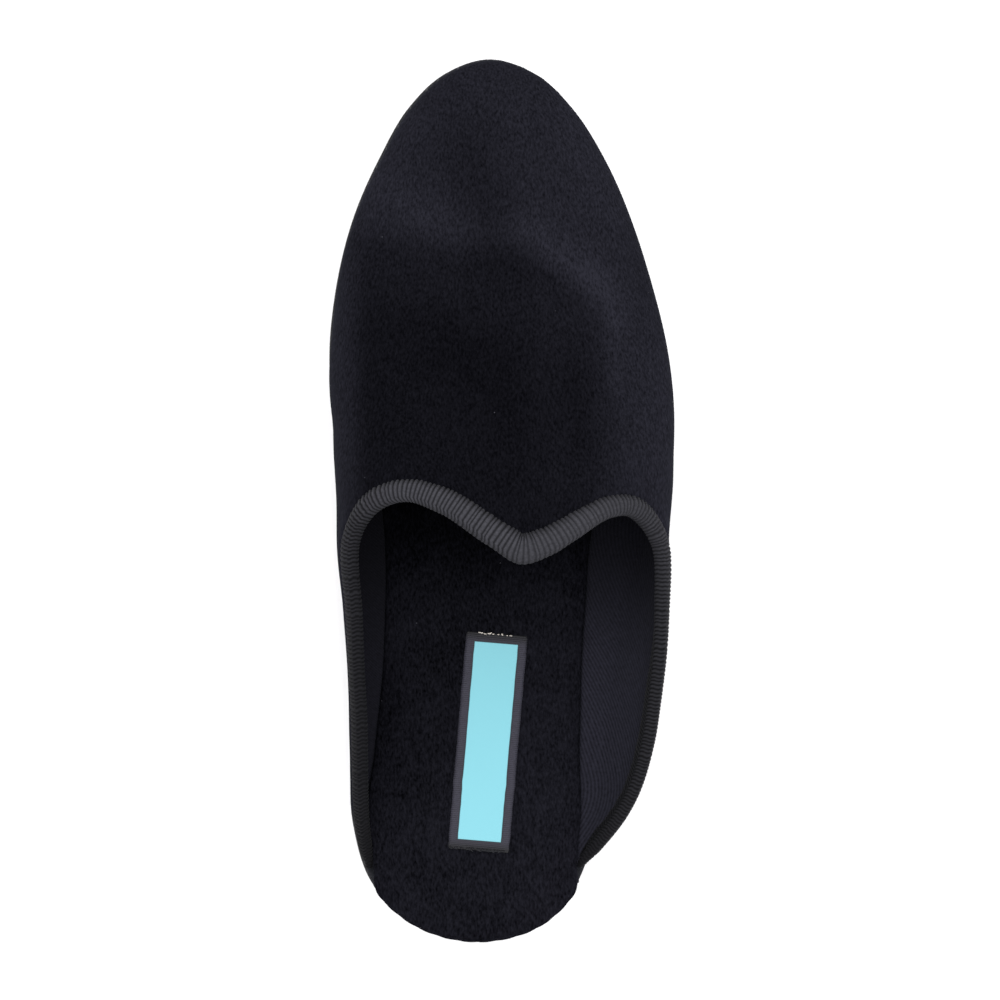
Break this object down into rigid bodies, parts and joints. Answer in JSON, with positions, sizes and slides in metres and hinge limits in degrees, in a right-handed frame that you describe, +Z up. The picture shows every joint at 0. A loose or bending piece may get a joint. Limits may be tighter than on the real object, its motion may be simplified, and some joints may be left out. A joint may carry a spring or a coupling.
{
  "type": "velvet mule slipper",
  "caption": "Backless velvet slipper for the right foot: closed almond toe, V throat with a taped edge, low side wings, padded insole and a thin flat sole.",
  "frame": {"origin": "middle of the slipper's box, on the floor it stands on", "axes": "+Y towards the toe, +X towards the little-toe side, +Z up"},
  "size_m": [0.0966, 0.25, 0.063],
  "materials": {
    "sole_rubber": "matt black rubber",
    "midsole_cloth": "black felted cloth over board",
    "insole_velvet": "black cotton velvet",
    "upper_velvet": "black velvet with a bluish nap, twill lined",
    "binding_tape": "charcoal ribbed tape",
    "woven_label": "plain woven label, pale teal on slate"
  },
  "bodies": {
    "root": {"outsole": "sole_rubber", "midsole": "midsole_cloth", "insole": "insole_velvet", "upper": "upper_velvet", "binding": "binding_tape", "label": "woven_label"}
  },
  "joints": []
}
